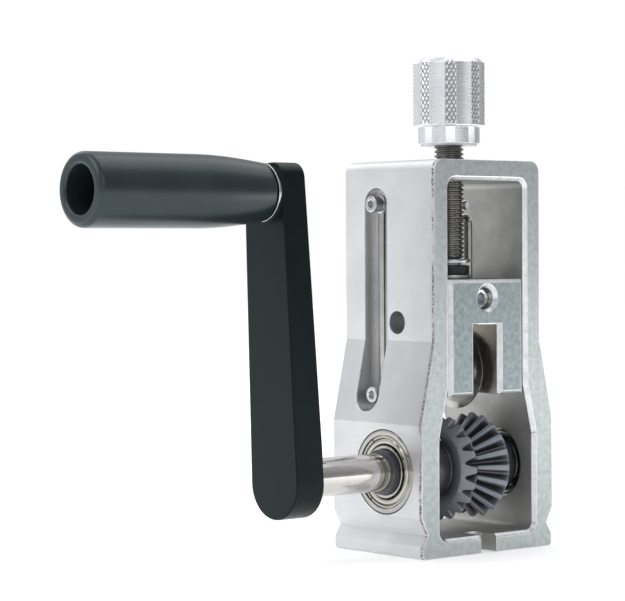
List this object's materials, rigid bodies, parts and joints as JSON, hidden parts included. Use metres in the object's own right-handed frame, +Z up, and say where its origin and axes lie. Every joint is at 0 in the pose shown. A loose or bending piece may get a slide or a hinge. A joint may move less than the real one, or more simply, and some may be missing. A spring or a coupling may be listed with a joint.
{
  "type": "hand-cranked wire stripping machine",
  "caption": "Hand-cranked wire stripper: two toothed feed wheels on a bearing-carried shaft under a round blade on a screw-adjusted slider, in an upright aluminium frame.",
  "frame": {"origin": "middle of the underside of the frame's base, on the bench", "axes": "+X along the crank shaft, away from the crank; -Y is the feed side; +Z up, along the adjusting screw"},
  "size_m": [0.1866, 0.044, 0.1646],
  "materials": {
    "satin_milled_aluminium": "satin, machine milled",
    "bead_blasted_aluminium": "matt, faintly mottled",
    "bright_aluminium": "bright turned and knurled",
    "ground_steel": "ground and polished",
    "bearing_steel": "turned and polished",
    "zinc_steel": "bright zinc plated",
    "threaded_steel": "rolled thread, lightly oiled",
    "hardened_tool_steel": "ground",
    "black_oxide_steel": "satin black oxide",
    "black_screw_steel": "black oxide",
    "black_anodised_aluminium": "satin black",
    "moulded_grip_plastic": "satin gloss, moulded",
    "black_thrust_plastic": "satin black",
    "bronze_bush": "plain bronze"
  },
  "bodies": {
    "frame": {"frame": "satin_milled_aluminium", "left_guide_rod": "ground_steel", "right_guide_rod": "ground_steel", "guide_screws": "zinc_steel", "guide_washers": "zinc_steel", "left_bearing_outer": "bearing_steel", "left_bearing_balls": "bearing_steel", "left_bearing_cage": "zinc_steel", "left_bearing_shields": "bearing_steel", "left_bearing_clip": "bearing_steel", "right_bearing_outer": "bearing_steel", "right_bearing_balls": "bearing_steel", "right_bearing_cage": "zinc_steel", "right_bearing_shields": "bearing_steel", "right_bearing_clip": "bearing_steel"},
    "crank": {"crank_shaft": "ground_steel", "left_bearing_inner": "bearing_steel", "right_bearing_inner": "bearing_steel", "left_feed_gear": "black_oxide_steel", "right_feed_gear": "black_oxide_steel", "gear_set_screws": "black_screw_steel", "crank_arm": "black_anodised_aluminium", "arm_set_screw": "black_screw_steel", "grip_axle": "zinc_steel", "grip_washer": "zinc_steel"},
    "grip": {"grip": "moulded_grip_plastic"},
    "slider": {"slider_block": "bead_blasted_aluminium", "retaining_screw": "zinc_steel", "plain_washer": "zinc_steel", "thrust_ring": "black_thrust_plastic", "spring_washer": "zinc_steel", "cutter_screw": "black_screw_steel", "cutter_bush": "bronze_bush", "cutter_spacers": "zinc_steel"},
    "cutter": {"cutter_disc": "hardened_tool_steel"},
    "adjuster": {"adjuster_screw": "threaded_steel", "adjuster_knob": "bright_aluminium", "knob_set_screw": "black_screw_steel"}
  },
  "joints": [
    {"name": "crank_spin", "type": "hinge", "parent": "frame", "child": "crank", "pos_m": [0, -0.0035, 0.0275], "axis": [1, 0, 0], "continuous": true},
    {"name": "grip_spin", "type": "hinge", "parent": "crank", "child": "grip", "pos_m": [-0.112, 0.00097, 0.11889], "axis": [1, 0, 0], "continuous": true},
    {"name": "slider_slide", "type": "slide", "parent": "frame", "child": "slider", "axis": [0, 0, 1], "range_m": [-0.005, 0.024]},
    {"name": "cutter_spin", "type": "hinge", "parent": "slider", "child": "cutter", "pos_m": [0.0026, -0.0035, 0.06], "axis": [1, 0, 0], "continuous": true},
    {"name": "knob_turn", "type": "hinge", "parent": "slider", "child": "adjuster", "pos_m": [0, -0.0035, 0.11], "axis": [0, 0, 1], "range_deg": [-1201, 5761]}
  ],
  "couplings": [
    {"joint": "knob_turn", "follows": "slider_slide", "rad_per_m": 4188.8}
  ]
}
